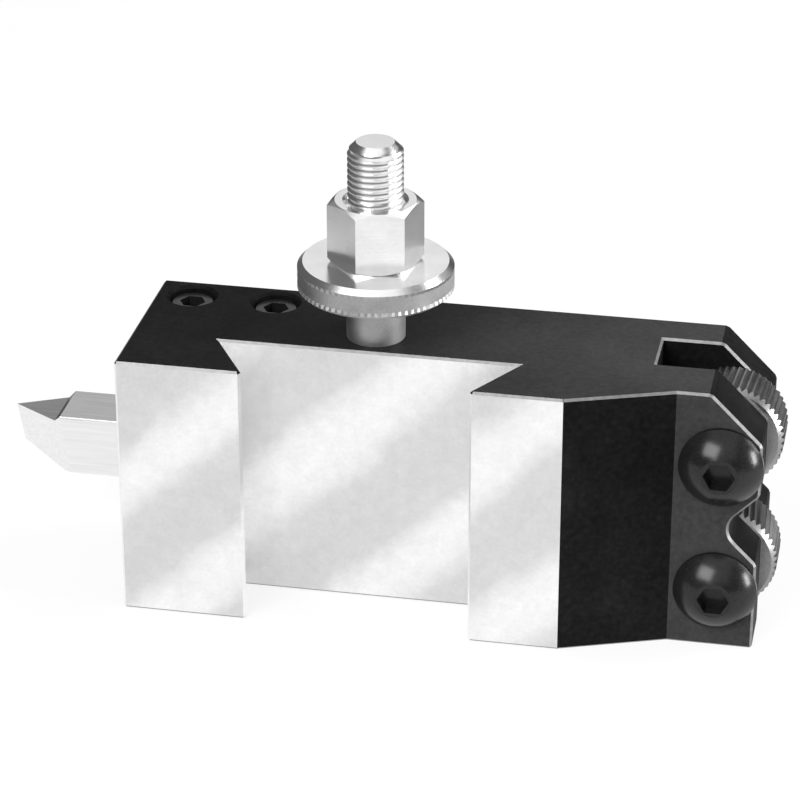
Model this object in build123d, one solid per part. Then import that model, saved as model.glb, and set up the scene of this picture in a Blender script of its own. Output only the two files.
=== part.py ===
from build123d import *
import math
import os

# A quick-change holder for a lathe tool post. A dovetail on its front slides on the post, a square tool bit
# is clamped in an open slot at the rear left, and two knurl wheels turn in a fork at the right end.
# Millimetres. X runs along the holder from the bit to the wheels, the dovetail side faces -Y, and +Z is up.
# The origin is where the axis of the height-adjusting stud meets the flat underside.

# Holder block
HOLDER_HEIGHT = 47.6
HOLDER_DEPTH = 34.3
LEFT_LAND = 22.2
RIGHT_LAND = 16.0
RELIEF_RUN = 18.0
RELIEF_DEPTH = 6.6
FORK_LENGTH = 14.6
EDGE_BREAK = 0.4

# Dovetail
DOVETAIL_MOUTH = 38.1
DOVETAIL_DEPTH = 11.8
DOVETAIL_ANGLE = 60.0
LIP_BREAK = 0.8

# Fork that carries the wheels
BACK_CHEEK = 7.6
FORK_CHAMFER = 8.8
NOTCH_DEPTH = 5.0
NOTCH_ROOT = 3.5
NOTCH_BELOW_MIDDLE = 1.05

# Knurl wheels
KNURL_DIAMETER = 19.05
KNURL_WIDTH = 9.525
KNURL_BEVEL = 0.9
KNURL_PITCH = 1.2
KNURL_CREST = 0.28
KNURL_TOOTH_DEPTH = 0.5
KNURL_LEAN = 30.0
KNURL_STEPS = 4
KNURL_STANDOUT = 2.825
KNURL_SPREAD = 4.45
KNURL_SIDE_GAP = 0.3
KNURL_BACK_GAP = 2.9

# Axle screws
AXLE_DIAMETER = 6.35
AXLE_SHOULDER = 0.575
AXLE_END_SET_IN = 0.6
HEAD_DIAMETER = 14.3
HEAD_HEIGHT = 4.2
HEAD_RIM = 0.7
HEAD_CROWN = 6.4
HEAD_SOCKET = 4.76
HEAD_SOCKET_DEPTH = 2.6

# Height-adjusting stud and its two nuts
STUD_THREAD = 9.525
STUD_SHOULDER = 0.3
STUD_SEAT_DEPTH = 16.5
STUD_WALL = 2.1375
SHANK_STANDOUT = 8.9
STUD_FREE_END = 10.4
STUD_END_BREAK = 1.5
DISC_DIAMETER = 26.7
DISC_THICKNESS = 5.1
DISC_TOP_BEVEL = 0.9
DISC_BOTTOM_BEVEL = 0.5
LOCK_NUT_FLATS = 14.29
LOCK_NUT_HEIGHT = 11.1
LOCK_NUT_FACE_MARGIN = 0.245
LOCK_NUT_CHAMFER_ANGLE = 30.0
LOCK_NUT_TURN = 17.0
NUT_MOUTH_BREAK = 0.8

# Tool bit, its slot and its clamping screws
BIT_SIZE = 11.1
BIT_LENGTH = 88.9
BIT_HELD_LENGTH = 61.6
BIT_EDGE_BREAK = 0.3
NOSE_LENGTH = 10.0
NOSE_SETBACK = 6.2
NOSE_RELIEF_ANGLE = 5.0
RAKE_DROP = 1.2
HEEL_RISE = 3.5
SLOT_FLOOR = 13.0
SLOT_HEADROOM = 1.8
BIT_SET_IN = 0.2
SLOT_SPARE_LENGTH = 13.8
SET_SCREW_DIAMETER = 7.94
SET_SCREW_SET_IN = 1.1
SET_SCREW_SOCKET = 4.0
SET_SCREW_SOCKET_DEPTH = 4.5
SET_SCREW_END_BREAK = 0.9
SET_SCREW_TOP_BREAK = 0.45
FIRST_SCREW_INSET = 6.5
SCREW_PITCH = 15.0
SCREW_COUNT = 2
SCREW_HOLE_MOUTH_BREAK = 0.5

# Running clearance, on the radius, of every shaft or thread in its hole
RUNNING_CLEARANCE = 0.05

# The cone that a drill leaves at the bottom of a hole
DRILL_POINT_ANGLE = 118.0

# Sizes that follow from the ones above
STUD_SHANK = STUD_THREAD + 2 * STUD_SHOULDER
STUD_SETBACK = DOVETAIL_DEPTH + STUD_WALL + STUD_SHANK / 2
AXLE_THREAD = AXLE_DIAMETER - 2 * AXLE_SHOULDER
AXLE_SPACING = KNURL_DIAMETER + KNURL_SPREAD
UNDERCUT = DOVETAIL_DEPTH / math.tan(math.radians(DOVETAIL_ANGLE))
WHEEL_SLOT_WIDTH = KNURL_WIDTH + 2 * KNURL_SIDE_GAP
SLOT_HEIGHT = BIT_SIZE + SLOT_HEADROOM
SLOT_LENGTH = BIT_HELD_LENGTH + SLOT_SPARE_LENGTH

# Places worked out from the sizes
LEFT_END = -(LEFT_LAND + DOVETAIL_MOUTH / 2)
RELIEF_START = DOVETAIL_MOUTH / 2 + RIGHT_LAND
FORK_START = RELIEF_START + RELIEF_RUN
RIGHT_END = FORK_START + FORK_LENGTH
FRONT = -STUD_SETBACK
BACK = FRONT + HOLDER_DEPTH
FORK_FRONT = FRONT + RELIEF_DEPTH
WHEEL_SLOT_BACK = BACK - BACK_CHEEK
WHEEL_SLOT_FRONT = WHEEL_SLOT_BACK - WHEEL_SLOT_WIDTH
AXLE_X = RIGHT_END + KNURL_STANDOUT - KNURL_DIAMETER / 2
WHEEL_SLOT_START = AXLE_X - KNURL_DIAMETER / 2 - KNURL_BACK_GAP
NOTCH_CENTRE = HOLDER_HEIGHT / 2 - NOTCH_BELOW_MIDDLE
AXLE_HEIGHTS = {"lower": NOTCH_CENTRE - AXLE_SPACING / 2, "upper": NOTCH_CENTRE + AXLE_SPACING / 2}
KNURL_HANDS = {"lower": -1, "upper": 1}
BIT_TOP = SLOT_FLOOR + BIT_SIZE
SLOT_FRONT = BACK - BIT_SET_IN - BIT_SIZE
BIT_CENTRE = SLOT_FRONT + BIT_SIZE / 2
BIT_INNER_END = LEFT_END + BIT_HELD_LENGTH
BIT_TIP = BIT_INNER_END - BIT_LENGTH
DISC_UNDERSIDE = HOLDER_HEIGHT + SHANK_STANDOUT
LOCK_NUT_UNDERSIDE = DISC_UNDERSIDE + DISC_THICKNESS
STUD_TOP = LOCK_NUT_UNDERSIDE + LOCK_NUT_HEIGHT + STUD_FREE_END
SCREW_PLACES = [LEFT_END + FIRST_SCREW_INSET + number * SCREW_PITCH for number in range(SCREW_COUNT)]

# How far a cutter reaches past what it cuts, and how closely a place is matched when an edge is picked
BEYOND = 5.0
NEAR = 0.01


def block(x_range, y_range, z_range):
    """A plain block between two values on each axis."""
    size = [high - low for low, high in (x_range, y_range, z_range)]
    corner = Pos(x_range[0], y_range[0], z_range[0])
    return corner * Box(*size, align=(Align.MIN, Align.MIN, Align.MIN))


def rod(radius, bottom, top, x=0.0, y=0.0):
    """An upright round bar."""
    return Pos(x, y, bottom) * Cylinder(radius, top - bottom, align=(Align.CENTER, Align.CENTER, Align.MIN))


def turned(points):
    """A solid of revolution about Z from (radius, height) points of its half section."""
    section = make_face(Polyline(*[(radius, 0, height) for radius, height in points], close=True))
    return revolve(section, Axis.Z)


def prism_across(points, y_range):
    """A prism along Y from (x, z) points."""
    front, back = y_range
    outline = make_face(Polyline(*[(x, front, z) for x, z in points], close=True))
    return extrude(outline, amount=back - front, dir=(0, 1, 0))


def countersink(radius, top, size):
    """A 45 degree cutter that breaks the mouth of an upright hole."""
    return turned([(0, top - radius - size), (radius + size + BEYOND, top + BEYOND), (0, top + BEYOND)])


def facing_front(shape, x, y, z):
    """Turns a shape made about +Z so that its top faces the front, and moves its origin to a place."""
    return Pos(x, y, z) * Rot(90, 0, 0) * shape


def socket_cutter(flats, top, depth):
    """A hexagon socket sunk from a top face."""
    hexagon = extrude(RegularPolygon(flats / math.sqrt(3), 6), amount=depth + BEYOND)
    return Pos(0, 0, top - depth) * hexagon


def holder_outline():
    """The block seen from above, with the dovetail cut into its front."""
    lip = DOVETAIL_MOUTH / 2
    lean = math.radians(DOVETAIL_ANGLE)
    side = (LIP_BREAK * math.cos(lean), LIP_BREAK * math.sin(lean))
    floor = FRONT + DOVETAIL_DEPTH
    points = [
        (LEFT_END, FRONT),
        (-lip - LIP_BREAK, FRONT),
        (-lip - side[0], FRONT + side[1]),
        (-lip - UNDERCUT, floor),
        (lip + UNDERCUT, floor),
        (lip + side[0], FRONT + side[1]),
        (lip + LIP_BREAK, FRONT),
        (RELIEF_START, FRONT),
        (FORK_START, FORK_FRONT),
        (RIGHT_END, FORK_FRONT),
        (RIGHT_END, BACK),
        (LEFT_END, BACK),
    ]
    return make_face(Polyline(*points, close=True))


def fork_chamfer_cutter():
    """The 45 degree cut over the outer upper corner of both cheeks."""
    slope_end = HOLDER_HEIGHT - FORK_CHAMFER - BEYOND
    corner = [
        (RIGHT_END - FORK_CHAMFER, HOLDER_HEIGHT),
        (RIGHT_END - FORK_CHAMFER, HOLDER_HEIGHT + BEYOND),
        (RIGHT_END + BEYOND, HOLDER_HEIGHT + BEYOND),
        (RIGHT_END + BEYOND, slope_end),
    ]
    return prism_across(corner, (FORK_FRONT - BEYOND, BACK + BEYOND))


def notch_cutter():
    """The square V between the wheels, with a round root, that leaves room for the work."""
    root_to_point = NOTCH_ROOT * (math.sqrt(2) - 1)
    point = RIGHT_END - NOTCH_DEPTH - root_to_point
    reach = RIGHT_END + BEYOND - point
    end = point + reach
    outline = [(point, NOTCH_CENTRE), (end, NOTCH_CENTRE - reach), (end, NOTCH_CENTRE + reach)]
    cutter = prism_across(outline, (FORK_FRONT - BEYOND, BACK + BEYOND))
    root_edges = [edge for edge in cutter.edges().filter_by(Axis.Y) if abs(edge.center().X - point) < NEAR]
    return fillet(root_edges, NOTCH_ROOT)


def axle_hole_cutter(height):
    """The plain bore of the front cheek and the tapped bore of the back cheek."""
    cheek = WHEEL_SLOT_FRONT - FORK_FRONT
    plain = Cylinder(AXLE_DIAMETER / 2 + RUNNING_CLEARANCE, cheek + 2 * KNURL_SIDE_GAP,
                     align=(Align.CENTER, Align.CENTER, Align.MAX))
    tapped = Cylinder(AXLE_THREAD / 2 + RUNNING_CLEARANCE, HOLDER_DEPTH + BEYOND,
                      align=(Align.CENTER, Align.CENTER, Align.MAX))
    return facing_front(plain + tapped, AXLE_X, FORK_FRONT, height)


def screw_hole_cutter(x):
    """A tapped hole from the top into the tool slot, with a broken mouth."""
    radius = SET_SCREW_DIAMETER / 2 + RUNNING_CLEARANCE
    hole = rod(radius, SLOT_FLOOR + SLOT_HEIGHT / 2, HOLDER_HEIGHT + BEYOND)
    return Pos(x, BIT_CENTRE, 0) * (hole + countersink(radius, HOLDER_HEIGHT, SCREW_HOLE_MOUTH_BREAK))


def stud_hole_cutter():
    """The blind tapped hole of the stud, with the drill's cone at its bottom."""
    radius = STUD_SHANK / 2 + RUNNING_CLEARANCE
    bottom = HOLDER_HEIGHT - STUD_SEAT_DEPTH
    cone_height = radius / math.tan(math.radians(DRILL_POINT_ANGLE / 2))
    cone = turned([(0, bottom - cone_height), (radius, bottom), (0, bottom)])
    return rod(radius, bottom, HOLDER_HEIGHT + BEYOND) + cone


def flat_to(shape, axis, value):
    """The straight or round edges of the flat faces of a shape that lie at one value along an axis."""
    found = []
    for face in shape.faces().filter_by(GeomType.PLANE):
        centre = face.center()
        normal = face.normal_at(centre)
        along = {"X": (centre.X, normal.X), "Y": (centre.Y, normal.Y), "Z": (centre.Z, normal.Z)}[axis]
        if abs(along[0] - value) < NEAR and abs(along[1]) > 1 - NEAR:
            found += face.edges()
    return found


def make_holder_body():
    """The hardened block, with dovetail, tool slot, fork and all its holes."""
    body = extrude(holder_outline(), amount=HOLDER_HEIGHT)
    body -= fork_chamfer_cutter()
    body -= block((WHEEL_SLOT_START, RIGHT_END + BEYOND), (WHEEL_SLOT_FRONT, WHEEL_SLOT_BACK),
                  (-BEYOND, HOLDER_HEIGHT + BEYOND))
    body -= notch_cutter()
    body -= block((LEFT_END - BEYOND, LEFT_END + SLOT_LENGTH), (SLOT_FRONT, BACK + BEYOND),
                  (SLOT_FLOOR, SLOT_FLOOR + SLOT_HEIGHT))
    body = broken_edges(body)
    for height in AXLE_HEIGHTS.values():
        body -= axle_hole_cutter(height)
    for x in SCREW_PLACES:
        body -= screw_hole_cutter(x)
    body -= stud_hole_cutter()
    return body


def broken_edges(body):
    """Breaks the sharp outer edges of the block before its holes are drilled."""
    edges = flat_to(body, "Z", HOLDER_HEIGHT) + flat_to(body, "Z", 0)
    edges += flat_to(body, "X", RIGHT_END) + flat_to(body, "X", LEFT_END)
    edges += fork_slope_edges(body) + notch_edges(body)
    chosen = []
    for edge in edges:
        if not any(edge.is_same(other) for other in chosen):
            chosen.append(edge)
    return chamfer(chosen, EDGE_BREAK)


def fork_slope_edges(body):
    """The edges of the sloping faces over the two cheeks."""
    found = []
    for face in body.faces().filter_by(GeomType.PLANE):
        centre = face.center()
        normal = face.normal_at(centre)
        sloping_up = abs(normal.X - normal.Z) < NEAR and normal.X > 0.5
        if sloping_up and centre.Z > HOLDER_HEIGHT - FORK_CHAMFER:
            found += face.edges()
    return found


def notch_edges(body):
    """The edges of the notch on the two flat sides of each cheek."""
    found = []
    for edge in body.edges():
        centre = edge.center()
        near = abs(centre.Z - NOTCH_CENTRE) < NOTCH_DEPTH + NOTCH_ROOT
        inside = RIGHT_END - NOTCH_DEPTH - EDGE_BREAK < centre.X < RIGHT_END - NEAR
        across = edge.geom_type == GeomType.LINE and abs(edge.tangent_at(0).Y) > 1 - NEAR
        if near and inside and not across:
            found.append(edge)
    return found


def button_head():
    """A spherical head with a flat crown and a hexagon socket, standing on its base."""
    rim = Vector(HEAD_DIAMETER / 2, 0, HEAD_RIM)
    crown = Vector(HEAD_CROWN / 2, 0, HEAD_HEIGHT)
    ball_centre = Vector(0, 0, (rim.dot(rim) - crown.dot(crown)) / (2 * (rim.Z - crown.Z)))
    ball_radius = (rim - ball_centre).length
    middle = ball_centre + ((rim + crown) / 2 - ball_centre).normalized() * ball_radius
    side = Polyline((0, 0, 0), (rim.X, 0, 0), rim)
    dome = ThreePointArc(rim, middle, crown)
    top = Polyline(crown, (0, 0, HEAD_HEIGHT), (0, 0, 0))
    head = revolve(make_face([*side.edges(), *dome.edges(), *top.edges()]), Axis.Z)
    return head - socket_cutter(HEAD_SOCKET, HEAD_HEIGHT, HEAD_SOCKET_DEPTH)


def make_axle_screw(height):
    """A button-head screw whose plain shank is the axle of one wheel."""
    shoulder = WHEEL_SLOT_BACK - FORK_FRONT - KNURL_SIDE_GAP / 2
    end = BACK - FORK_FRONT - AXLE_END_SET_IN
    thread = AXLE_THREAD / 2
    shank = turned([
        (0, 0), (AXLE_DIAMETER / 2, 0), (AXLE_DIAMETER / 2, -shoulder), (thread, -shoulder),
        (thread, -end), (0, -end),
    ])
    return facing_front(button_head() + shank, AXLE_X, FORK_FRONT, height)


def knurl_section(height, turn):
    """The toothed outline of a wheel at one height, turned about its axis."""
    crest = KNURL_DIAMETER / 2
    root = crest - KNURL_TOOTH_DEPTH
    count = round(math.pi * KNURL_DIAMETER / KNURL_PITCH)
    tooth = 2 * math.pi / count
    crest_share = KNURL_CREST / KNURL_PITCH
    corners = []
    for number in range(count):
        for share, radius in ((-crest_share / 2, crest), (crest_share / 2, crest), (0.5, root)):
            angle = turn + (number + share) * tooth
            corners.append((radius * math.cos(angle), radius * math.sin(angle), height))
    return make_face(Polyline(*corners, close=True))


def toothed_rim(hand):
    """A solid wheel with slanted teeth, lofted through outlines that turn step by step along its axis."""
    twist = hand * math.tan(math.radians(KNURL_LEAN)) * KNURL_WIDTH / (KNURL_DIAMETER / 2)
    shares = [step / KNURL_STEPS - 0.5 for step in range(KNURL_STEPS + 1)]
    return loft([knurl_section(share * KNURL_WIDTH, share * twist) for share in shares], ruled=True)


def make_knurl_wheel(height, hand):
    """A hardened wheel with slanted teeth of one hand, bevelled ends and a plain bore."""
    rim = KNURL_DIAMETER / 2
    bore = AXLE_DIAMETER / 2 + RUNNING_CLEARANCE
    half = KNURL_WIDTH / 2
    envelope = turned([
        (bore, -half), (rim - KNURL_BEVEL, -half), (rim, -half + KNURL_BEVEL),
        (rim, half - KNURL_BEVEL), (rim - KNURL_BEVEL, half), (bore, half),
    ])
    return facing_front(toothed_rim(hand) & envelope, AXLE_X, WHEEL_SLOT_FRONT + WHEEL_SLOT_WIDTH / 2, height)


def make_adjusting_stud():
    """The stud, thicker where it is screwed into the block, with a shoulder under the adjusting nut."""
    shank = STUD_SHANK / 2
    thread = STUD_THREAD / 2
    bottom = HOLDER_HEIGHT - STUD_SEAT_DEPTH
    return turned([
        (0, bottom), (shank, bottom), (shank, DISC_UNDERSIDE), (thread, DISC_UNDERSIDE),
        (thread, STUD_TOP - STUD_END_BREAK), (thread - STUD_END_BREAK, STUD_TOP), (0, STUD_TOP),
    ])


def make_adjusting_nut():
    """The round nut that hangs the holder on the post and sets its height."""
    rim = DISC_DIAMETER / 2
    bore = STUD_THREAD / 2 + RUNNING_CLEARANCE
    bottom = DISC_UNDERSIDE
    top = DISC_UNDERSIDE + DISC_THICKNESS
    return turned([
        (bore, bottom), (rim - DISC_BOTTOM_BEVEL, bottom), (rim, bottom + DISC_BOTTOM_BEVEL),
        (rim, top - DISC_TOP_BEVEL), (rim - DISC_TOP_BEVEL, top), (bore, top),
    ])


def make_lock_nut():
    """A high hexagon nut, chamfered at both ends, that locks the adjusting nut."""
    corner = LOCK_NUT_FLATS / math.sqrt(3)
    bore = STUD_THREAD / 2 + RUNNING_CLEARANCE
    mouth = bore + NUT_MOUTH_BREAK
    face = LOCK_NUT_FLATS / 2 - LOCK_NUT_FACE_MARGIN
    drop = (corner - face) * math.tan(math.radians(LOCK_NUT_CHAMFER_ANGLE))
    bottom = LOCK_NUT_UNDERSIDE
    top = bottom + LOCK_NUT_HEIGHT
    envelope = turned([
        (bore, bottom), (face, bottom), (corner, bottom + drop), (corner, top - drop), (face, top),
        (mouth, top), (bore, top - NUT_MOUTH_BREAK),
    ])
    outline = RegularPolygon(corner, 6, rotation=LOCK_NUT_TURN)
    return envelope & Pos(0, 0, bottom) * extrude(outline, amount=LOCK_NUT_HEIGHT)


def make_set_screw(x):
    """A headless socket screw with a flat point that presses the tool bit on the slot's floor."""
    radius = SET_SCREW_DIAMETER / 2
    top = HOLDER_HEIGHT - SET_SCREW_SET_IN
    screw = turned([
        (0, BIT_TOP), (radius - SET_SCREW_END_BREAK, BIT_TOP), (radius, BIT_TOP + SET_SCREW_END_BREAK),
        (radius, top - SET_SCREW_TOP_BREAK), (radius - SET_SCREW_TOP_BREAK, top), (0, top),
    ])
    return Pos(x, BIT_CENTRE, 0) * (screw - socket_cutter(SET_SCREW_SOCKET, top, SET_SCREW_SOCKET_DEPTH))


def flank_cutter(sharp, end, side):
    """Cuts the stock outside one flank away, from the point to the shoulder, leaning in below."""
    along = Vector(end[0] - sharp[0], end[1] - sharp[1]).normalized()
    outward = Vector(side * along.Y, -side * along.X)
    lean = math.tan(math.radians(NOSE_RELIEF_ANGLE)) * BIT_SIZE
    reach = 3 * BIT_SIZE
    start = Vector(*sharp) - along * reach
    section = [
        (0, BIT_TOP + BEYOND), (0, BIT_TOP), (-lean, SLOT_FLOOR), (-lean, SLOT_FLOOR - BEYOND),
        (reach, SLOT_FLOOR - BEYOND), (reach, BIT_TOP + BEYOND),
    ]
    corners = [start + outward * offset + Vector(0, 0, height) for offset, height in section]
    return extrude(make_face(Polyline(*corners, close=True)), amount=2 * reach, dir=along)


def make_tool_bit():
    """A square bit ground to a point, with a stepped rake face and a relieved heel."""
    near = SLOT_FRONT
    far = SLOT_FRONT + BIT_SIZE
    across = (near - BEYOND, far + BEYOND)
    outside = BIT_TIP - BEYOND
    shoulder = BIT_TIP + NOSE_LENGTH
    bar = block((BIT_TIP, BIT_INNER_END), (near, far), (SLOT_FLOOR, BIT_TOP))
    bar = chamfer(bar.edges().filter_by(Axis.X), BIT_EDGE_BREAK)
    point = (BIT_TIP, near + NOSE_SETBACK)
    bar -= flank_cutter(point, (shoulder, near), 1)
    bar -= flank_cutter(point, (shoulder, far), -1)
    rake = [
        (outside, BIT_TOP - RAKE_DROP), (shoulder - RAKE_DROP, BIT_TOP - RAKE_DROP),
        (shoulder + BEYOND, BIT_TOP + BEYOND), (outside, BIT_TOP + BEYOND),
    ]
    bar -= prism_across(rake, across)
    heel = [
        (shoulder, SLOT_FLOOR), (BIT_TIP, SLOT_FLOOR + HEEL_RISE), (outside, SLOT_FLOOR + HEEL_RISE),
        (outside, SLOT_FLOOR - BEYOND), (shoulder, SLOT_FLOOR - BEYOND),
    ]
    return bar - prism_across(heel, across)


def make_parts():
    """Every piece of the holder, by name."""
    parts = {
        "holder_body": make_holder_body(),
        "adjusting_stud": make_adjusting_stud(),
        "adjusting_nut": make_adjusting_nut(),
        "lock_nut": make_lock_nut(),
        "tool_bit": make_tool_bit(),
    }
    for number, x in enumerate(SCREW_PLACES, start=1):
        parts[f"set_screw_{number}"] = make_set_screw(x)
    for place, height in AXLE_HEIGHTS.items():
        parts[f"{place}_axle_screw"] = make_axle_screw(height)
        parts[f"{place}_knurl_wheel"] = make_knurl_wheel(height, KNURL_HANDS[place])
    return parts


os.makedirs("parts", exist_ok=True)
for name, shape in make_parts().items():
    export_step(shape, os.path.join("parts", f"{name}.step"))
    print(name, round(shape.volume, 1))
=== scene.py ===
# %% [markdown]
# # A turning and knurling tool holder
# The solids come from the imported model, in metres, and every one of them already lies in its place. What is made here
# is what a solid model leaves out: the thread of the stud, the knurled rim of the round nut, and every finish.

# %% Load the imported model
import math

import bmesh
import bpy
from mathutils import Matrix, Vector


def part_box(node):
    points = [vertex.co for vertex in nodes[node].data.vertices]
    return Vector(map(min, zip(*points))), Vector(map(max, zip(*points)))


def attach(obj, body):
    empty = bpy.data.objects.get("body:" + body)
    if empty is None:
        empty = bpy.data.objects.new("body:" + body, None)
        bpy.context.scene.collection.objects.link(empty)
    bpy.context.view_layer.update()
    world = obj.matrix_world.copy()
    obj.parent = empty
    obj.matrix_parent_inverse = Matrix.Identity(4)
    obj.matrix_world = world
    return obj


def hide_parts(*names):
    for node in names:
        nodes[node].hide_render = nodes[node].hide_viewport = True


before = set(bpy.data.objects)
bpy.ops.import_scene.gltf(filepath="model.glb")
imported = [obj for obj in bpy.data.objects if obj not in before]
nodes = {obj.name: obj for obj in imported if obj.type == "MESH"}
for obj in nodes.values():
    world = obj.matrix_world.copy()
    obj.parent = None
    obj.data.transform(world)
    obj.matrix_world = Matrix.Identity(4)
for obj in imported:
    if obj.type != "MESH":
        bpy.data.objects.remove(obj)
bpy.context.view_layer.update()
print("pieces from the model:", sorted(nodes))

# %% [markdown]
# ## Camera
# A long lens seen from a little above and from the right, as in a catalogue picture. The lens is long, so that the
# lines of the block hardly run together.

# %% Camera
MM = 0.001
LENS = 144
SENSOR_WIDTH = 36
CAMERA_PLACE = (97.6 * MM, -485.2 * MM, 282.0 * MM)
CAMERA_TILT = math.radians(63.48)
CAMERA_TURN = math.radians(10.9)
camera_data = bpy.data.cameras.new("catalogue_camera")
camera_data.lens = LENS
camera_data.sensor_width = SENSOR_WIDTH
camera = bpy.data.objects.new("catalogue_camera", camera_data)
camera.location = CAMERA_PLACE
camera.rotation_euler = (CAMERA_TILT, 0, CAMERA_TURN)
bpy.context.scene.collection.objects.link(camera)
bpy.context.scene.camera = camera
bpy.context.scene.view_settings.view_transform = "Standard"
print("camera at", [round(value, 4) for value in camera.location])

# %% [markdown]
# ## Values that more than one step needs
# The places of the block's ground faces, the stud and the round nut. A finish that covers only part of a solid needs
# them to know where it ends.

# %% Places on the holder, in metres
GROUND_BACK = -7.1 * MM
GROUND_RIGHT = 35.1 * MM
STUD_LOW, STUD_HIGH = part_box("adjusting_stud")
DISC_LOW, DISC_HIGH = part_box("adjusting_nut")
print("stud from", round(STUD_LOW.z / MM, 1), "to", round(STUD_HIGH.z / MM, 1), "mm")

# %% [markdown]
# ## Small helpers for nodes
# Written by hand, every node and link takes two lines. A few short helpers make a material read like a sentence. A
# mask is a value that is 1 where something holds and 0 elsewhere, so two masks multiplied mean "both", and the larger
# of two means "either".

# %% Helpers for nodes
def connect(tree, value, socket):
    """A plain value is set on the socket, and anything else is linked to it."""
    if isinstance(value, (int, float, tuple)):
        socket.default_value = value
    else:
        tree.links.new(value, socket)


def math_node(tree, operation, *values):
    node = tree.nodes.new("ShaderNodeMath")
    node.operation = operation
    for socket, value in zip(node.inputs, values):
        connect(tree, value, socket)
    return node.outputs[0]


def split(tree, vector):
    """The x, y and z parts of a position or a normal."""
    node = tree.nodes.new("ShaderNodeSeparateXYZ")
    tree.links.new(vector, node.inputs[0])
    return node.outputs


def above(tree, value, limit):
    return math_node(tree, "GREATER_THAN", value, limit)


def below(tree, value, limit):
    return math_node(tree, "LESS_THAN", value, limit)


def magnitude(tree, value):
    return math_node(tree, "ABSOLUTE", value)


def away_from(tree, value, middle):
    """How far a value is from a middle, on either side."""
    return magnitude(tree, math_node(tree, "SUBTRACT", value, middle))


def both(tree, first, second):
    return math_node(tree, "MULTIPLY", first, second)


def either(tree, first, second):
    return math_node(tree, "MAXIMUM", first, second)


def opposite(tree, mask):
    return math_node(tree, "SUBTRACT", 1.0, mask)


print("helpers for nodes ready")

# %% [markdown]
# ## Shared effects
# An effect that several finishes share is a node group with named sockets. It is built once, and each material puts
# its own values in.

# %% Helper for node groups
def new_group(name, inputs, outputs):
    group = bpy.data.node_groups.new(name, "ShaderNodeTree")
    for socket_name, kind, value in inputs:
        socket = group.interface.new_socket(socket_name, in_out="INPUT", socket_type=kind)
        if value is not None:
            socket.default_value = value
    for socket_name, kind in outputs:
        group.interface.new_socket(socket_name, in_out="OUTPUT", socket_type=kind)
    return group, group.nodes.new("NodeGroupInput"), group.nodes.new("NodeGroupOutput")


FLOAT, VECTOR = "NodeSocketFloat", "NodeSocketVector"
print("socket kinds:", FLOAT, "and", VECTOR)

# %% [markdown]
# ## Mottle
# No machined or blackened surface is one even tone. Two noises, one coarse and one fine, added up make a tone that
# drifts over the surface and has a little speckle in it.

# %% Group: mottle
COARSE_DETAIL = 3.0
FINE_DETAIL = 2.0
mottle, group_in, group_out = new_group(
    "mottle",
    [("Position", VECTOR, None), ("Coarse Scale", FLOAT, 60.0), ("Fine Scale", FLOAT, 1500.0),
     ("Fine Share", FLOAT, 0.4)],
    [("Tone", FLOAT)],
)
noises = []
for scale_name, detail in (("Coarse Scale", COARSE_DETAIL), ("Fine Scale", FINE_DETAIL)):
    noise = mottle.nodes.new("ShaderNodeTexNoise")
    noise.inputs["Detail"].default_value = detail
    mottle.links.new(group_in.outputs["Position"], noise.inputs["Vector"])
    mottle.links.new(group_in.outputs[scale_name], noise.inputs["Scale"])
    noises.append(noise.outputs[0])
fine_share = group_in.outputs["Fine Share"]
coarse_part = math_node(mottle, "MULTIPLY", noises[0], opposite(mottle, fine_share))
fine_part = math_node(mottle, "MULTIPLY", noises[1], fine_share)
mottle.links.new(math_node(mottle, "ADD", fine_part, coarse_part), group_out.inputs["Tone"])
print("group mottle has", len(mottle.nodes), "nodes")

# %% [markdown]
# ## Grinding marks
# A grinding wheel leaves fine parallel lines. They are a noise that is squeezed along one direction: the position is
# stretched by a different amount on each axis before the noise reads it.

# %% Group: grinding marks
LINE_DETAIL = 4.0
LINE_HARSHNESS = 0.6
grinding, group_in, group_out = new_group(
    "grinding_marks",
    [("Position", VECTOR, None), ("Stretch", VECTOR, (60.0, 900.0, 900.0))],
    [("Tone", FLOAT)],
)
stretched = grinding.nodes.new("ShaderNodeVectorMath")
stretched.operation = "MULTIPLY"
grinding.links.new(group_in.outputs["Position"], stretched.inputs[0])
grinding.links.new(group_in.outputs["Stretch"], stretched.inputs[1])
lines = grinding.nodes.new("ShaderNodeTexNoise")
lines.inputs["Scale"].default_value = 1.0
lines.inputs["Detail"].default_value = LINE_DETAIL
lines.inputs["Roughness"].default_value = LINE_HARSHNESS
grinding.links.new(stretched.outputs[0], lines.inputs["Vector"])
grinding.links.new(lines.outputs[0], group_out.inputs["Tone"])
print("group grinding_marks has", len(grinding.nodes), "nodes")

# %% [markdown]
# ## Broken edges
# Every outer edge of the block is broken by a narrow 45 degree face, where the blackening wears first and light
# catches. Such a face leans halfway between two axes, so adding up the sizes of its normal's three parts finds it:
# the sum is 1 on a square face and 1.41 on a broken edge. Most of a screw hole's cone leans more, and stays black. To
# the right of the ground front the edges of slants and of the round notch lean more too, and are worn all the same.
# Only the slopes themselves are left out there: they face right and up or down.

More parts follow.
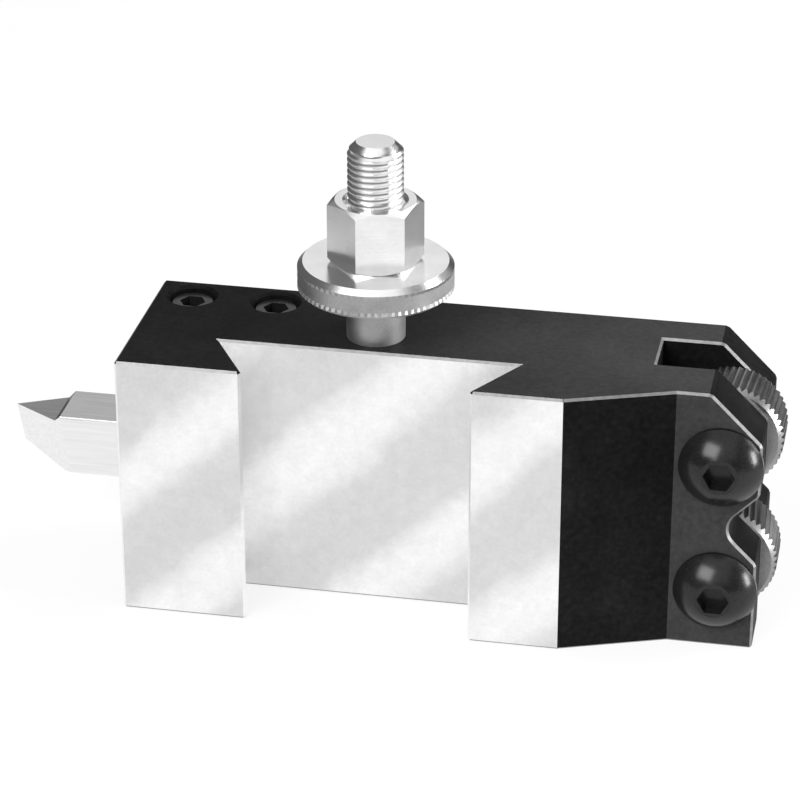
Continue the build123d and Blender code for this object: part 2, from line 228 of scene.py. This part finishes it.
# %% Group: broken edges
LEANING = 1.39
SQUARE_LEANING = math.sqrt(2)
LEANING_PLAY = 0.02
broken_edges, group_in, group_out = new_group(
    "broken_edges",
    [("Position", VECTOR, None), ("Normal", VECTOR, None), ("Slants Start", FLOAT, GROUND_RIGHT),
     ("Slopes Start", FLOAT, 57.0 * MM)],
    [("Mask", FLOAT)],
)
sizes = [magnitude(broken_edges, part) for part in split(broken_edges, group_in.outputs["Normal"])]
in_profile = math_node(broken_edges, "ADD", sizes[0], sizes[2])
all_three = math_node(broken_edges, "ADD", in_profile, sizes[1])
place_along = split(broken_edges, group_in.outputs["Position"])[0]
past_front = above(broken_edges, place_along, group_in.outputs["Slants Start"])
in_fork = above(broken_edges, place_along, group_in.outputs["Slopes Start"])
square_edge = math_node(broken_edges, "COMPARE", all_three, SQUARE_LEANING, LEANING_PLAY)
slanting_edge = both(broken_edges, past_front, above(broken_edges, all_three, LEANING))
slope = both(broken_edges, in_fork, above(broken_edges, in_profile, LEANING))
edge_mask = both(broken_edges, either(broken_edges, square_edge, slanting_edge), opposite(broken_edges, slope))
broken_edges.links.new(edge_mask, group_out.inputs["Mask"])
print("group broken_edges has", len(broken_edges.nodes), "nodes")

# %% [markdown]
# ## A base for every finish
# Each finish is one Principled shader. The first helper makes the material and hands back its shader, the position
# and the normal. A number that is the same all over a surface is set on the shader's own socket. The other helpers
# turn a tone into what a socket needs: a grey, a number in a range, or a slight relief.

# %% Helpers for finishes
def even(tone):
    """One grey as a colour."""
    return (tone, tone, tone, 1.0)


def new_finish(name, metallic, specular=0.5):
    material = bpy.data.materials.new(name)
    material.use_nodes = True
    tree = material.node_tree
    shader = tree.nodes["Principled BSDF"]
    shader.inputs["Metallic"].default_value = metallic
    shader.inputs["Specular IOR Level"].default_value = specular
    where = tree.nodes.new("ShaderNodeTexCoord")
    return material, tree, shader, where.outputs["Object"], where.outputs["Normal"]


def place_group(tree, group, position, **values):
    """Puts a shared effect in a material: Coarse_Scale=60 sets its socket Coarse Scale."""
    node = tree.nodes.new("ShaderNodeGroup")
    node.node_tree = group
    tree.links.new(position, node.inputs["Position"])
    for name, value in values.items():
        connect(tree, value, node.inputs[name.replace("_", " ")])
    return node.outputs[0]


def greys(tree, value, *stops):
    """Turns a value into a grey. Each stop is (value, grey)."""
    node = tree.nodes.new("ShaderNodeValToRGB")
    tree.links.new(value, node.inputs[0])
    elements = node.color_ramp.elements
    while len(elements) < len(stops):
        elements.new(0.5)
    for element, (place, tone) in zip(elements, stops):
        element.position = place
        element.color = even(tone)
    return node.outputs[0]


def mix_colour(tree, share, first, second, blend="MIX"):
    node = tree.nodes.new("ShaderNodeMix")
    node.data_type = "RGBA"
    node.blend_type = blend
    connect(tree, share, node.inputs[0])
    connect(tree, first, node.inputs[6])
    connect(tree, second, node.inputs[7])
    return node.outputs[2]


def mix_number(tree, share, first, second):
    node = tree.nodes.new("ShaderNodeMix")
    for socket, value in zip((node.inputs[0], node.inputs[2], node.inputs[3]), (share, first, second)):
        tree.links.new(value, socket)
    return node.outputs[0]


def remap(tree, value, low, high, start=0.0, end=1.0):
    """A value from start to end becomes a number from low to high."""
    node = tree.nodes.new("ShaderNodeMapRange")
    tree.links.new(value, node.inputs[0])
    for socket, number in zip(node.inputs[1:5], (start, end, low, high)):
        socket.default_value = number
    return node.outputs[0]


def relief(tree, shader, tone, depth, strength):
    bump = tree.nodes.new("ShaderNodeBump")
    bump.inputs["Strength"].default_value = strength
    bump.inputs["Distance"].default_value = depth
    tree.links.new(tone, bump.inputs["Height"])
    tree.links.new(bump.outputs[0], shader.inputs["Normal"])


print("helpers for finishes ready")

# %% [markdown]
# ## Where the block is ground
# The block is blackened all over, and then the dovetail and the two lands beside it are ground, so they are bright
# steel. One material does both, with a mask from the position: a point is ground if it is in front of the dovetail's
# floor, left of the relief, and on a face that stands upright and doesn't face the ends.

# %% Block: mask of the ground faces
HALF_LEANING = 0.5
SQUARE_ON = 0.95
block_finish, tree, shader, position, normal = new_finish("blackened_block_ground_front", 0.0, 0.03)
along, inward, height = split(tree, position)
facing_along, facing_inward, facing_up = split(tree, normal)
in_front = below(tree, inward, GROUND_BACK)
left_of_relief = below(tree, along, GROUND_RIGHT)
upright = below(tree, magnitude(tree, facing_up), HALF_LEANING)
not_an_end = below(tree, magnitude(tree, facing_along), SQUARE_ON)
ground = both(tree, both(tree, in_front, left_of_relief), both(tree, upright, not_an_end))
print("ground left of", round(GROUND_RIGHT / MM, 1), "mm and in front of", round(GROUND_BACK / MM, 1), "mm")

# %% [markdown]
# ## Painted reflection streaks on the ground faces
# Broad, slanting bands, paler than their neighbours, are painted on the ground faces as painted reflections of the
# light. A cosine of a slanting coordinate makes them, and a noise makes them sway. The bands of each land and of the
# floor start in a place of their own.

# %% Block: slanting bands
LEFT_PITCH = 22.5 * MM
OTHER_PITCH = 26.3 * MM
BAND_SLANT = math.radians(42)
LEFT_BANDS, FLOOR_BANDS, RIGHT_BANDS = -45.0 * MM, -26.3 * MM, -11.1 * MM
FLOOR_START = -10.0 * MM
SWAY = 9.0 * MM
on_floor = above(tree, inward, FLOOR_START)
on_right_land = both(tree, above(tree, along, 0.0), opposite(tree, on_floor))
band_start = math_node(tree, "MULTIPLY_ADD", on_floor, FLOOR_BANDS - LEFT_BANDS, LEFT_BANDS)
band_start = math_node(tree, "MULTIPLY_ADD", on_right_land, RIGHT_BANDS - LEFT_BANDS, band_start)
slanting = math_node(tree, "MULTIPLY_ADD", along, math.sin(BAND_SLANT),
                     math_node(tree, "MULTIPLY", height, -math.cos(BAND_SLANT)))
swaying = place_group(tree, mottle, position, Coarse_Scale=55.0, Fine_Scale=400.0, Fine_Share=0.15)
swayed = math_node(tree, "MULTIPLY_ADD", math_node(tree, "SUBTRACT", swaying, 0.5), SWAY, slanting)
pitch = math_node(tree, "MULTIPLY_ADD", either(tree, on_floor, on_right_land), OTHER_PITCH - LEFT_PITCH, LEFT_PITCH)
bands_passed = math_node(tree, "DIVIDE", math_node(tree, "SUBTRACT", swayed, band_start), pitch)
turn = math_node(tree, "MULTIPLY", bands_passed, 2 * math.pi)
# Painted reflection: each slanting streak is a pale band of the cosine.
painted_reflection_band = math_node(tree, "MULTIPLY_ADD", math_node(tree, "COSINE", turn), 0.5, 0.5)
print("bands", round(LEFT_PITCH / MM, 1), "and", round(OTHER_PITCH / MM, 1), "mm apart")

# %% [markdown]
# ## Tone of the ground faces
# The painted reflection bands become greys, from pale to nearly white, and a fine cloudiness lies over them. The
# dovetail's flanks are one even, brighter tone, because they are too narrow to show the bands.

# %% Block: tone of the ground faces
FLANK_LEANING = 0.3
FLANK_TONE = 0.96
bright_tone = greys(tree, painted_reflection_band, (0.0, 0.72), (0.45, 0.75), (0.85, 0.94), (1.0, 0.98))
on_flank = above(tree, magnitude(tree, facing_along), FLANK_LEANING)
bright_tone = mix_colour(tree, on_flank, bright_tone, even(FLANK_TONE))
cloud = place_group(tree, mottle, position, Coarse_Scale=500.0, Fine_Scale=1700.0, Fine_Share=0.4)
cloud_tone = greys(tree, cloud, (0.32, 0.90), (0.68, 1.0))
bright_tone = mix_colour(tree, 1.0, bright_tone, cloud_tone, blend="MULTIPLY")
marks = place_group(tree, grinding, position, Stretch=(3200.0, 3200.0, 160.0))
bright_roughness = remap(tree, marks, 0.20, 0.28)
print("ground faces have", len(tree.nodes), "nodes so far")

# %% [markdown]
# ## Black oxide
# The rest of the block is black oxide over machined steel. It is nearly black, with a slight mottle. On the top and
# on the fork's two outer faces, the black is painted a little paler toward the fork, as a painted sheen of light on
# the blackening.

# %% Block: black oxide
BLACKEST_PLACE = -25.0 * MM
FORK_PLACE = 56.0 * MM
RELIEF_END = 53.05 * MM
SLOT_MIDDLE = 2.6 * MM
OUTSIDE_HALF = 12.3 * MM
speckle = place_group(tree, mottle, position, Coarse_Scale=55.0, Fine_Scale=1100.0, Fine_Share=0.45)
black_tone = greys(tree, speckle, (0.30, 0.003), (0.50, 0.007), (0.72, 0.014))
# Painted sheen: the top and the fork's outer faces turn a paler black toward the fork.
painted_sheen_tone = greys(tree, speckle, (0.30, 0.026), (0.70, 0.050))
toward_fork = remap(tree, along, 0.0, 1.0, BLACKEST_PLACE, FORK_PLACE)
on_outside = above(tree, away_from(tree, inward, SLOT_MIDDLE), OUTSIDE_HALF)
facing_back = above(tree, facing_inward, SQUARE_ON)
front_of_fork = both(tree, below(tree, facing_inward, -SQUARE_ON), above(tree, along, RELIEF_END))
on_plate = both(tree, on_outside, either(tree, facing_back, front_of_fork))
on_top = above(tree, facing_up, SQUARE_ON)
painted_sheen_share = math_node(tree, "MULTIPLY", toward_fork, either(tree, on_plate, on_top))
black_tone = mix_colour(tree, painted_sheen_share, black_tone, painted_sheen_tone)
print("blackening goes thin from", round(BLACKEST_PLACE / MM, 1), "to", round(FORK_PLACE / MM, 1), "mm")

# %% [markdown]
# ## Worn edges, and the two finishes joined
# The narrow broken edges are worn to bare metal, except round the holes of the screw row, where nothing rubs. Then
# the mask of the ground faces picks one finish or the other, and the shader takes the result.

# %% Block: worn edges, and the two finishes joined
SCREW_ROW = 9.55 * MM
SCREW_ROW_HALF = 5.6 * MM
SCREW_ROW_END = 40.6 * MM
beside_row = above(tree, away_from(tree, inward, SCREW_ROW), SCREW_ROW_HALF)
past_row = above(tree, magnitude(tree, along), SCREW_ROW_END)
worn = both(tree, place_group(tree, broken_edges, position, Normal=normal), either(tree, beside_row, past_row))
edge_tone = greys(tree, speckle, (0.30, 0.17), (0.70, 0.32))
worn_black = mix_colour(tree, worn, black_tone, edge_tone)
black_roughness = remap(tree, speckle, 0.40, 0.60)
tree.links.new(mix_colour(tree, ground, worn_black, bright_tone), shader.inputs["Base Color"])
tree.links.new(either(tree, ground, worn), shader.inputs["Metallic"])
tree.links.new(mix_number(tree, ground, black_roughness, bright_roughness), shader.inputs["Roughness"])
relief(tree, shader, marks, 0.002 * MM, 0.3)
print("block finish:", len(tree.nodes), "nodes")

# %% [markdown]
# ## Bright turned steel
# The stud, the round nut and the hexagon nut are turned and polished. Turning leaves rings, so the fine lines are
# squeezed along the upright axis only. The stud's shank below the nut is left as turned, and duller, and so is the
# round nut's knurled rim with the bevel under it. Both are also painted a darker grey, as painted shade.

# %% Finish: turned steel
SHANK_TOP = DISC_LOW.z - 0.05 * MM
RIM_START = 12.85 * MM
RIM_LEANING = 0.6
EXTRA_DULLNESS = 0.30
turned_finish, tree, shader, position, normal = new_finish("bright_turned_steel", 1.0)
rings = place_group(tree, grinding, position, Stretch=(120.0, 120.0, 5200.0))
tone = place_group(tree, mottle, position, Coarse_Scale=180.0, Fine_Scale=2400.0, Fine_Share=0.3)
polished_tone = greys(tree, tone, (0.3, 0.85), (0.7, 0.97))
painted_shade_tone = greys(tree, tone, (0.3, 0.34), (0.7, 0.50))
place_x, place_y, place_z = split(tree, position)
squares = [math_node(tree, "MULTIPLY", part, part) for part in (place_x, place_y)]
from_axis = math_node(tree, "SQRT", math_node(tree, "ADD", *squares))
facing_up = split(tree, normal)[2]
on_shank = below(tree, place_z, SHANK_TOP)
on_rim = both(tree, above(tree, from_axis, RIM_START), below(tree, facing_up, RIM_LEANING))
# Painted shade: a darker grey on the shank under the round nut and on the nut's rim, which are rougher too.
dull_with_painted_shade = either(tree, on_rim, on_shank)
tree.links.new(mix_colour(tree, dull_with_painted_shade, polished_tone, painted_shade_tone), shader.inputs["Base Color"])
tree.links.new(math_node(tree, "MULTIPLY_ADD", dull_with_painted_shade, EXTRA_DULLNESS, remap(tree, rings, 0.14, 0.30)),
               shader.inputs["Roughness"])
relief(tree, shader, rings, 0.003 * MM, 0.5)
print("turned steel finish:", len(tree.nodes), "nodes")

# %% [markdown]
# ## Ground tool steel
# The bit is ground on every face. Its flats are ground lengthwise, which is the squeezed noise again, now long in X.
# The top is painted a duller grey than the front, as painted shade, and the sunk face behind the cutting edge, which a
# narrow wheel sank, is darker still, as a painted shadow.

# %% Finish: tool bit
BIT_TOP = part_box("tool_bit")[1].z
SUNK_START = 0.1 * MM
TOP_LEANING = 0.6
bit_finish, tree, shader, position, normal = new_finish("ground_tool_steel", 1.0)
marks = place_group(tree, grinding, position, Stretch=(70.0, 2400.0, 2400.0))
side_tone = greys(tree, marks, (0.25, 0.80), (0.75, 0.94))
# Painted shade on the top, and a painted shadow on the sunk face.
painted_shade_top_tone = greys(tree, marks, (0.25, 0.40), (0.75, 0.56))
painted_shadow_sunk_tone = greys(tree, marks, (0.25, 0.18), (0.75, 0.32))
faces_up = above(tree, split(tree, normal)[2], TOP_LEANING)
painted_shadow_on_sunk_face = both(tree, faces_up, below(tree, split(tree, position)[2], BIT_TOP - SUNK_START))
flat_tone = mix_colour(tree, faces_up, side_tone, painted_shade_top_tone)
tree.links.new(mix_colour(tree, painted_shadow_on_sunk_face, flat_tone, painted_shadow_sunk_tone), shader.inputs["Base Color"])
tree.links.new(remap(tree, marks, 0.24, 0.36), shader.inputs["Roughness"])
relief(tree, shader, marks, 0.004 * MM, 0.6)
print("tool bit finish:", len(tree.nodes), "nodes")

# %% [markdown]
# ## Hardened wheels
# The wheels are hardened and only lightly polished. Their toothed rims are painted a dark grey, as painted shade, and
# their flat faces and the bevels beside the teeth a lighter grey, as painted highlight.

# %% Finish: knurl wheels
FACE_LEANING = 0.5
wheel_finish, tree, shader, position, normal = new_finish("hardened_knurl_steel", 1.0)
tone = place_group(tree, mottle, position, Coarse_Scale=220.0, Fine_Scale=2600.0, Fine_Share=0.5)
on_face = above(tree, magnitude(tree, split(tree, normal)[1]), FACE_LEANING)
# Painted shade on the toothed rims, painted highlight on the faces and bevels.
painted_shade_rim_tone = greys(tree, tone, (0.3, 0.09), (0.7, 0.18))
painted_highlight_face_tone = greys(tree, tone, (0.3, 0.24), (0.7, 0.36))
tree.links.new(mix_colour(tree, on_face, painted_shade_rim_tone, painted_highlight_face_tone), shader.inputs["Base Color"])
tree.links.new(remap(tree, tone, 0.26, 0.44), shader.inputs["Roughness"])
relief(tree, shader, tone, 0.006 * MM, 0.4)
print("wheel finish:", len(tree.nodes), "nodes")

# %% [markdown]
# ## Black screws
# The socket screws are blackened and oiled: darker and glossier than the block.

# %% Finish: screws
screw_finish, tree, shader, position, normal = new_finish("oiled_black_screws", 0.0, 0.3)
tone = place_group(tree, mottle, position, Coarse_Scale=150.0, Fine_Scale=2200.0, Fine_Share=0.5)
tree.links.new(greys(tree, tone, (0.3, 0.006), (0.7, 0.014)), shader.inputs["Base Color"])
tree.links.new(remap(tree, tone, 0.16, 0.30), shader.inputs["Roughness"])
relief(tree, shader, tone, 0.004 * MM, 0.3)
print("screw finish:", len(tree.nodes), "nodes")

# %% [markdown]
# ## Turning a shape in a lathe
# Round pieces are turned in Blender as they are in the workshop: a few points give half the outline, and a full spin
# about the upright axis sweeps them round. The seam is merged, and the faces are told which side is out.

# %% Helpers for new pieces
UP = Vector((0, 0, 1))
SEAM_GAP = 0.0005 * MM


def outline_edges(build, points):
    """A chain of edges through points given as (distance from the axis, height) in millimetres."""
    corners = [build.verts.new((radius * MM, 0, height * MM)) for radius, height in points]
    edges = [build.edges.new(pair) for pair in zip(corners, corners[1:])]
    return corners + edges


def finished_piece(build, name, body, node, material, smooth=30):
    """Closes the books on a piece: doubles merged, faces out, shading, material slot filled, body attached and the
    model's node hidden.
    """
    bmesh.ops.remove_doubles(build, verts=build.verts, dist=SEAM_GAP)
    bmesh.ops.recalc_face_normals(build, faces=build.faces)
    open_edges = [edge for edge in build.edges if len(edge.link_faces) != 2]
    mesh = bpy.data.meshes.new(name)
    build.to_mesh(mesh)
    build.free()
    mesh.shade_smooth()
    mesh.set_sharp_from_angle(angle=math.radians(smooth))
    mesh.materials.append(material)
    piece = bpy.data.objects.new(name, mesh)
    bpy.context.scene.collection.objects.link(piece)
    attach(piece, body)
    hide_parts(node)
    print(name, "has", len(mesh.polygons), "faces and", len(open_edges), "open edges")


print("helpers for new pieces ready")

# %% [markdown]
# ## The stud's thread
# The solid stud is smooth. The real one has a fine thread that the nuts run on. One pitch of the thread is drawn as a
# zigzag and spun round and upwards at once, which gives a true helix. It is made a little too long at both ends.

# %% Threaded stud: the helix, sizes in millimetres
THREAD_CREST = 4.7625
THREAD_PITCH = 1.058
THREAD_DEPTH = 0.42
CREST_FLAT = 0.22
ROOT_FLAT = 0.20
SHOULDER_HEIGHT = 56.5
STEPS_A_TURN = 36
STEP_GAP = 0.002 * MM
stud_top = STUD_HIGH.z / MM
turns = math.ceil((stud_top - SHOULDER_HEIGHT) / THREAD_PITCH) + 2
start = SHOULDER_HEIGHT - THREAD_PITCH
rise = (THREAD_PITCH - CREST_FLAT - ROOT_FLAT) / 2
root = THREAD_CREST - THREAD_DEPTH
stud_build = bmesh.new()
thread_outline = outline_edges(stud_build, [
    (root, start), (root, start + ROOT_FLAT), (THREAD_CREST, start + ROOT_FLAT + rise),
    (THREAD_CREST, start + ROOT_FLAT + rise + CREST_FLAT), (root, start + THREAD_PITCH)])
bmesh.ops.spin(stud_build, geom=thread_outline, cent=(0, 0, 0), axis=UP, angle=2 * math.pi * turns,
               dvec=UP * THREAD_PITCH * MM / STEPS_A_TURN, steps=STEPS_A_TURN * turns, use_duplicate=False)
bmesh.ops.remove_doubles(stud_build, verts=stud_build.verts, dist=STEP_GAP)
print("thread has", turns, "turns before its ends are cut off")

# %% [markdown]
# ## The stud's ends
# The helix is cut off square at both ends, and each cut leaves a ring of edges. The top is drawn in to a broken end
# and closed. The ring at the bottom is led out to the thicker, smooth shank, and that is led down to its foot.

# %% Helpers for the stud's ends
def cut_square(height, above_it):
    """Cuts the helix off at a height and returns the edges of the cut."""
    cut = bmesh.ops.bisect_plane(
        stud_build, geom=stud_build.verts[:] + stud_build.edges[:] + stud_build.faces[:], dist=0.0001 * MM,
        plane_co=(0, 0, height * MM), plane_no=UP, clear_outer=above_it, clear_inner=not above_it)
    return [item for item in cut["geom_cut"] if isinstance(item, bmesh.types.BMEdge)]


def lead_out(edges, radius, height):
    """Extrudes a ring of edges and puts the new ring on a circle at another height."""
    ring = bmesh.ops.extrude_edge_only(stud_build, edges=edges)["geom"]
    for vert in (item for item in ring if isinstance(item, bmesh.types.BMVert)):
        scale = radius * MM / math.hypot(vert.co.x, vert.co.y)
        vert.co = (vert.co.x * scale, vert.co.y * scale, height * MM)
    return [item for item in ring if isinstance(item, bmesh.types.BMEdge)]


print("helpers for the stud's ends ready")

# %% Threaded stud: its ends
SHANK_RADIUS = 5.0625
END_BREAK = 1.5
top_ring = cut_square(stud_top, True)
bottom_ring = cut_square(SHOULDER_HEIGHT, False)
for vert in stud_build.verts:
    limit = (THREAD_CREST - (vert.co.z / MM - (stud_top - END_BREAK))) * MM
    distance = math.hypot(vert.co.x, vert.co.y)
    if distance > limit:
        vert.co.x *= limit / distance
        vert.co.y *= limit / distance
bmesh.ops.contextual_create(stud_build, geom=top_ring)
shoulder = lead_out(bottom_ring, SHANK_RADIUS, SHOULDER_HEIGHT)
foot = lead_out(shoulder, SHANK_RADIUS, STUD_LOW.z / MM)
bmesh.ops.contextual_create(stud_build, geom=foot)
finished_piece(stud_build, "threaded_stud", "holder", "adjusting_stud", turned_finish)

# %% [markdown]
# ## The knurled round nut
# The rim of the round nut is knurled so that fingers can grip it. First the nut is turned with a smooth rim, from an
# outline that is spun in many narrow steps.

# %% Knurled round nut: turned, sizes in millimetres
RIM_RADIUS = 13.35
BORE_RADIUS = 4.8125
TOP_BEVEL = 0.9
BOTTOM_BEVEL = 0.5
KNURLS_ROUND = 72
KNURLS_HIGH = 3
RIM_ROWS = 2 * KNURLS_HIGH
disc_low, disc_high = DISC_LOW.z / MM, DISC_HIGH.z / MM
rim_low, rim_high = disc_low + BOTTOM_BEVEL, disc_high - TOP_BEVEL
rim_heights = [rim_low + (rim_high - rim_low) * row / RIM_ROWS for row in range(RIM_ROWS + 1)]
nut_build = bmesh.new()
nut_outline = outline_edges(nut_build, [
    (BORE_RADIUS, disc_low), (RIM_RADIUS - BOTTOM_BEVEL, disc_low),
    *[(RIM_RADIUS, height) for height in rim_heights],
    (RIM_RADIUS - TOP_BEVEL, disc_high), (BORE_RADIUS, disc_high), (BORE_RADIUS, disc_low)])
bmesh.ops.spin(nut_build, geom=nut_outline, cent=(0, 0, 0), axis=UP, angle=2 * math.pi,
               steps=2 * KNURLS_ROUND, use_merge=True, use_duplicate=False)
bmesh.ops.remove_doubles(nut_build, verts=nut_build.verts, dist=SEAM_GAP)
print("smooth nut has", len(nut_build.faces), "faces")

# %% [markdown]
# ## The knurls
# Every other point of the rim, in both directions, is pushed in a little. That leaves small pyramids on their points,
# which is what a knurling wheel rolls into steel. The lowest and the highest row stay where they are, so the bevels
# stay round.

# %% Knurled round nut: its knurls
KNURL_DEPTH = 0.32
RIM_TOUCH = 0.01
step_angle = math.pi / KNURLS_ROUND
pushed_in = 0
for vert in nut_build.verts:
    if math.hypot(vert.co.x, vert.co.y) > (RIM_RADIUS - RIM_TOUCH) * MM:
        column = round(math.atan2(vert.co.y, vert.co.x) / step_angle)
        row = round((vert.co.z / MM - rim_low) / (rim_high - rim_low) * RIM_ROWS)
        if (column + row) % 2 and 0 < row < RIM_ROWS:
            vert.co.x *= 1 - KNURL_DEPTH / RIM_RADIUS
            vert.co.y *= 1 - KNURL_DEPTH / RIM_RADIUS
            pushed_in += 1
print("points pushed in:", pushed_in)
finished_piece(nut_build, "knurled_round_nut", "adjusting_nut", "adjusting_nut", turned_finish,
               smooth=15)

# %% [markdown]
# ## Finishes on the solids
# The other pieces keep the shapes of the model. Only their material slots are filled, so their meshes stay as they
# are.

# %% Put the finishes on the solids
FINISHES = {
    "holder_body": block_finish,
    "lock_nut": turned_finish,
    "tool_bit": bit_finish,
    "set_screw_1": screw_finish,
    "set_screw_2": screw_finish,
    "lower_axle_screw": screw_finish,
    "upper_axle_screw": screw_finish,
    "lower_knurl_wheel": wheel_finish,
    "upper_knurl_wheel": wheel_finish,
}
for name, finish in FINISHES.items():
    for material_slot in nodes[name].material_slots:
        material_slot.material = finish
print("finishes on", len(FINISHES), "pieces")

# %% [markdown]
# ## Floor
# A plain white floor. Its grain is hardly seen. What matters more is its own light, which the next step adds.

# %% Floor
FLOOR_HALF = 4.0
FLOOR_DROP = 0.02 * MM
floor_mesh = bpy.data.meshes.new("floor")
floor_build = bmesh.new()
bmesh.ops.create_grid(floor_build, x_segments=1, y_segments=1, size=FLOOR_HALF)
bmesh.ops.translate(floor_build, verts=floor_build.verts, vec=(0, 0, -FLOOR_DROP))
floor_build.to_mesh(floor_mesh)
floor_build.free()
floor = bpy.data.objects.new("floor", floor_mesh)
bpy.context.scene.collection.objects.link(floor)
paper, tree, shader, position, normal = new_finish("white_paper", 0.0, 0.1)
shader.inputs["Roughness"].default_value = 0.9
tone = place_group(tree, mottle, position, Coarse_Scale=3.0, Fine_Scale=40.0, Fine_Share=0.3)
tree.links.new(greys(tree, tone, (0.3, 0.80), (0.7, 0.84)), shader.inputs["Base Color"])
floor_mesh.materials.append(paper)
print("floor", 2 * FLOOR_HALF, "m wide")

# %% [markdown]
# ## The floor's own light
# The camera sees the floor as the white page of a catalogue, and it still keeps a faint shadow, because near the
# holder only part of its brightness is its own. Polished metal needs something dark to mirror, or it looks like
# paper. So the metal sees the floor as a white sheet on a darker table: white round the holder, and darker past the
# sheet's soft edges.

# %% The floor's own light
SHEET_HALF = (0.160, 0.130)
SHEET_CENTRE = (0.025, -0.055)
SHEET_EDGE = 0.045
TABLE_TONE = 0.10
NEAR_SHARE = 0.86
SHADOW_REACH = 0.25
PAGE_START = 0.80
WHITE = even(1.0)
light_path = tree.nodes.new("ShaderNodeLightPath")
glow = tree.nodes.new("ShaderNodeEmission")
glow.inputs["Strength"].default_value = 1.0
past_edges = [math_node(tree, "SUBTRACT", away_from(tree, part, centre), half)
              for part, centre, half in zip(split(tree, position), SHEET_CENTRE, SHEET_HALF)]
past_sheet = math_node(tree, "DIVIDE", math_node(tree, "MAXIMUM", *past_edges), SHEET_EDGE)
sheet_tone = greys(tree, past_sheet, (0.0, 1.0), (1.0, TABLE_TONE))
tree.links.new(mix_colour(tree, light_path.outputs["Is Camera Ray"], sheet_tone, WHITE), glow.inputs["Color"])
far_out = tree.nodes.new("ShaderNodeVectorMath")
far_out.operation = "LENGTH"
tree.links.new(position, far_out.inputs[0])
own_share = remap(tree, far_out.outputs["Value"], NEAR_SHARE, 1.0, SHADOW_REACH, PAGE_START)
camera_or_mirror = either(tree, light_path.outputs["Is Camera Ray"], light_path.outputs["Is Glossy Ray"])
blend = tree.nodes.new("ShaderNodeMixShader")
tree.links.new(math_node(tree, "MULTIPLY", camera_or_mirror, own_share), blend.inputs[0])
tree.links.new(shader.outputs[0], blend.inputs[1])
tree.links.new(glow.outputs[0], blend.inputs[2])
tree.links.new(blend.outputs[0], tree.nodes["Material Output"].inputs["Surface"])
print("paper finish:", len(tree.nodes), "nodes")

# %% [markdown]
# ## Lamps
# A large soft lamp above and in front gives the main light. A narrower one from the right lights the wheels and the
# end of the fork, and a low, narrow strip beside it puts the small highlights on the screw heads. A weak lamp from
# behind lifts the top of the block.

# %% Lamps
def soft_lamp(name, place, aim, size, power):
    """A rectangular lamp at a place, turned toward the point that it aims at."""
    lamp = bpy.data.lights.new(name, "AREA")
    lamp.shape = "RECTANGLE"
    lamp.size, lamp.size_y = size
    lamp.energy = power
    lamp_object = bpy.data.objects.new(name, lamp)
    lamp_object.location = place
    lamp_object.rotation_euler = (Vector(aim) - Vector(place)).to_track_quat("-Z", "Y").to_euler()
    bpy.context.scene.collection.objects.link(lamp_object)
    print(name, "gives", power, "W")


soft_lamp("front_lamp", place=(-0.35, -0.65, 0.6), aim=(0, 0, 0.02), size=(0.6, 0.5), power=9.0)
soft_lamp("right_lamp", place=(0.55, 0.15, 0.28), aim=(0.05, 0, 0.03), size=(0.25, 0.35), power=3.0)
soft_lamp("strip_lamp", place=(0.53, -0.07, 0.09), aim=(0.06, 0, 0.03), size=(0.08, 0.22), power=1.9)
soft_lamp("back_lamp", place=(0.35, 0.6, 0.75), aim=(0.05, 0, 0.03), size=(0.5, 0.35), power=2.0)

# %% [markdown]
# ## The room
# The world lights everything by an even pale grey and is white to the camera. Polished metal sees it dark near the
# horizon and on both sides and bright overhead, as under a long softbox in a dim room, which gives bevels and round
# edges their dark lines.

# %% World
LIT_TONE = 0.45
SIDE_TONE = 0.10
world = bpy.data.worlds.new("studio")
bpy.context.scene.world = world
world.use_nodes = True
room = world.node_tree
room_path = room.nodes.new("ShaderNodeLightPath")
direction = split(room, room.nodes.new("ShaderNodeTexCoord").outputs["Generated"])
ceiling = greys(room, direction[2], (0.0, 0.03), (0.20, 0.05), (0.40, 0.92), (0.60, 1.0))
to_the_side = greys(room, magnitude(room, direction[0]), (0.42, 0.0), (0.64, 1.0))
mirrored = mix_colour(room, to_the_side, ceiling, even(SIDE_TONE))
lit = mix_colour(room, room_path.outputs["Is Glossy Ray"], even(LIT_TONE), mirrored)
shown = mix_colour(room, room_path.outputs["Is Camera Ray"], lit, WHITE)
room.links.new(shown, room.nodes["Background"].inputs["Color"])
print("world:", len(room.nodes), "nodes")
